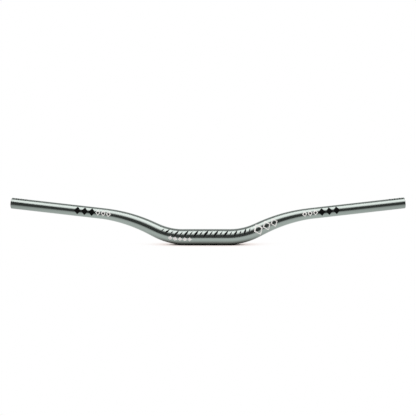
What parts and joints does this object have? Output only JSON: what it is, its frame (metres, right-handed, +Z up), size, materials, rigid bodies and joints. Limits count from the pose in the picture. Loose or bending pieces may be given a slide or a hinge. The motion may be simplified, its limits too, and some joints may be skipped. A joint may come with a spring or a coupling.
{
  "type": "riser handlebar",
  "caption": "Riser handlebar for a bicycle: a butted aluminium tube, thick at the stem clamp, that tapers as it rises and sweeps up and back to straight, open grip ends.",
  "frame": {"origin": "middle of the stem clamp, on the tube's axis", "axes": "+X along the clamp, +Y towards the rider, the way the grips sweep back, and +Z up, the way the bar rises"},
  "size_m": [0.8034, 0.0727, 0.088],
  "materials": {
    "anodised_tube": "satin anodised, grey-green"
  },
  "bodies": {
    "root": {"handlebar": "anodised_tube"}
  },
  "joints": []
}
